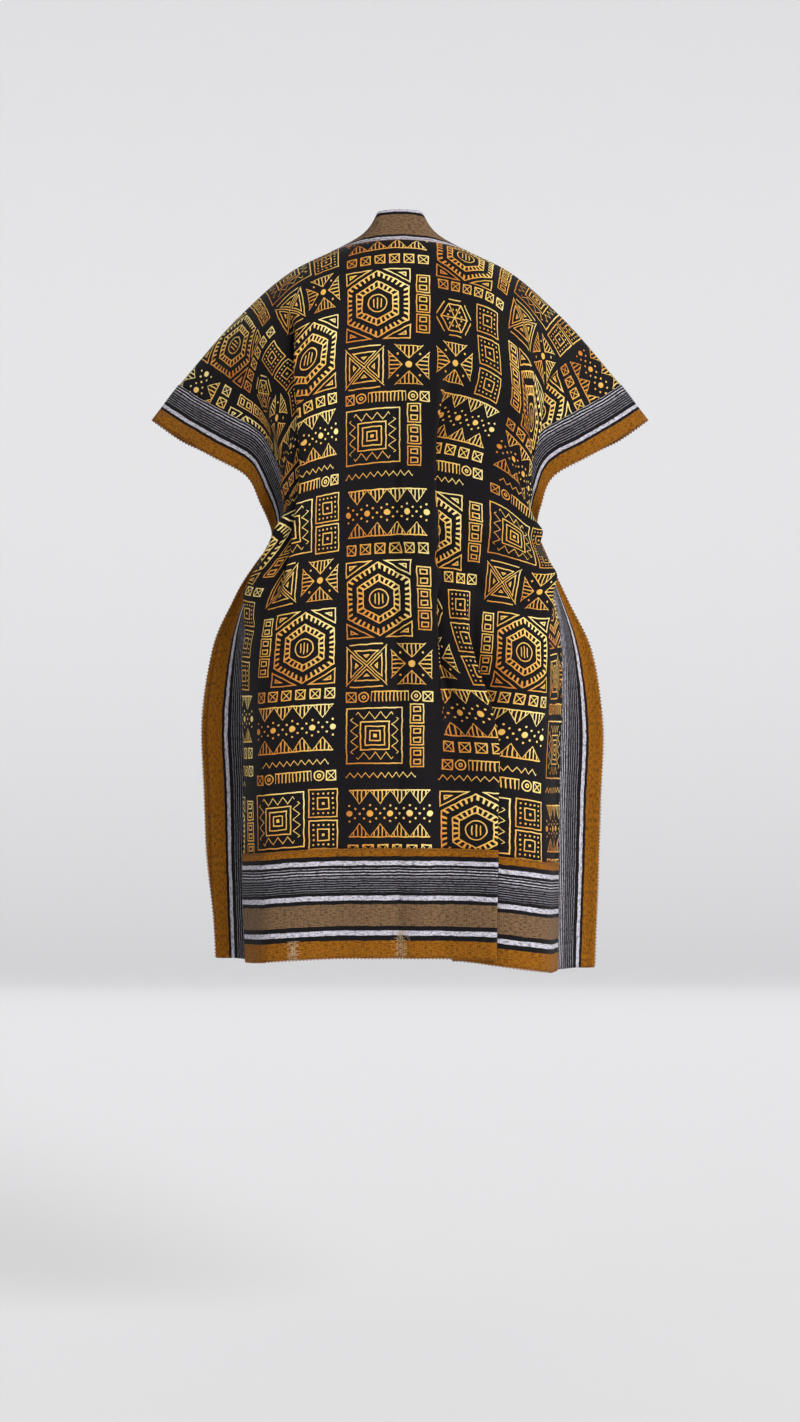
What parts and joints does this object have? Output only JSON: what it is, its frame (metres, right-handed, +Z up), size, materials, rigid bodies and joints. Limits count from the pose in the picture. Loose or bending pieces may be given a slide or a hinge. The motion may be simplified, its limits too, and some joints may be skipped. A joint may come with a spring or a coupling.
{
  "type": "kimono",
  "caption": "open-fronted printed cotton kimono with woven strip bands down the sides, round the hem and up the front edges into a standing collar, held as worn and hollow inside",
  "frame": {"origin": "middle of the neck, under the shoulder line and level with the back of the neckline, where the wearer's shoulders hold the garment", "axes": "+X to the wearer's right, +Y to the wearer's front, +Z up"},
  "size_m": [0.6738, 0.2896, 1.027],
  "materials": {
    "printed_cotton": "plain-weave cotton with a two-colour gold print on black",
    "aso_oke_hem": "hand-woven warp-striped cotton strip, mustard, black, white and tan",
    "aso_oke_side": "hand-woven warp-striped cotton strip, grey pinstripes and mustard edge",
    "aso_oke_collar": "hand-woven warp-striped cotton strip, tan between black and white lines"
  },
  "bodies": {
    "root": {"back": "printed_cotton", "front_right": "printed_cotton", "front_left": "printed_cotton", "hem_band_back": "aso_oke_hem", "hem_band_front_right": "aso_oke_hem", "hem_band_front_left": "aso_oke_hem", "side_band_back_right": "aso_oke_side", "side_band_back_left": "aso_oke_side", "side_band_front_right": "aso_oke_side", "side_band_front_left": "aso_oke_side", "collar_band": "aso_oke_collar"}
  },
  "joints": []
}
